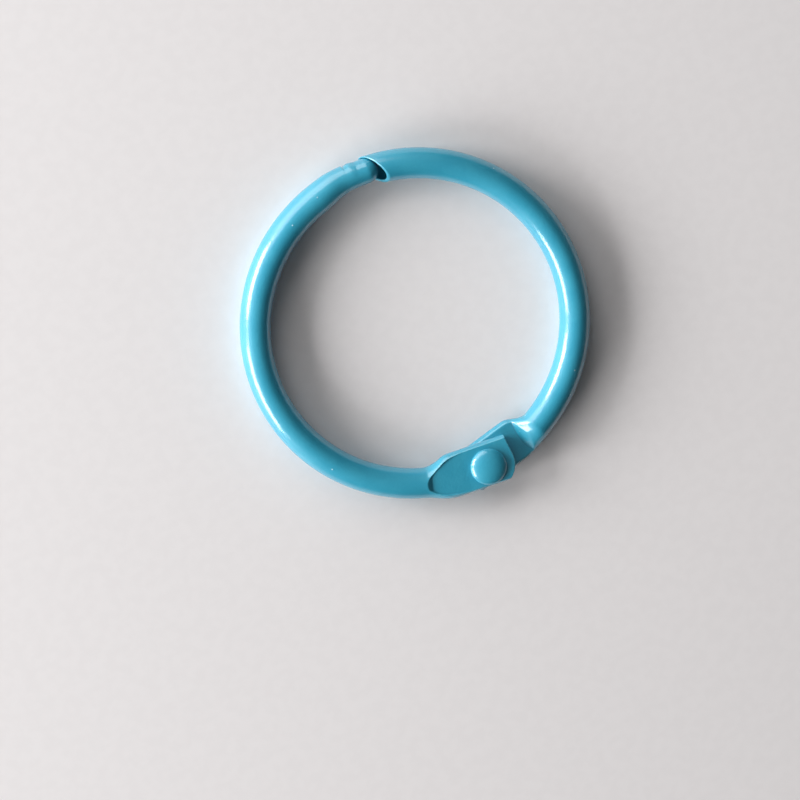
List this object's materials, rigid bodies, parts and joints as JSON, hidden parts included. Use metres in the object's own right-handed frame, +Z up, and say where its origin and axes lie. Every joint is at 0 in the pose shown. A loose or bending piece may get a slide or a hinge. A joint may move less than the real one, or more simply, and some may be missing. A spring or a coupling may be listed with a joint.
{
  "type": "hinged book ring",
  "caption": "Hinged binder ring: two curved tube halves riveted at a flat hinge, closing tongue into mouth, to hold keys or punched sheets.",
  "frame": {"origin": "centre of the closed ring, in the surface that the ring lies on", "axes": "+Z up through the ring, on the side of the rivet's domed head; the hinge is on -Y and the mouth on +Y, a little towards +X"},
  "size_m": [0.0308, 0.0315, 0.0031],
  "materials": {
    "enamel_halves": "glossy sky-blue enamel over steel",
    "enamel_rivet": "glossy sky-blue enamel over a steel rivet"
  },
  "bodies": {
    "socket_side": {"socket_half": "enamel_halves", "hinge_rivet": "enamel_rivet"},
    "tongue_side": {"tongue_half": "enamel_halves"}
  },
  "joints": [
    {"name": "hinge", "type": "hinge", "parent": "socket_side", "child": "tongue_side", "pos_m": [0, -0.01405, 0.00135], "axis": [0, 0, 1], "range_deg": [0, 160]}
  ]
}
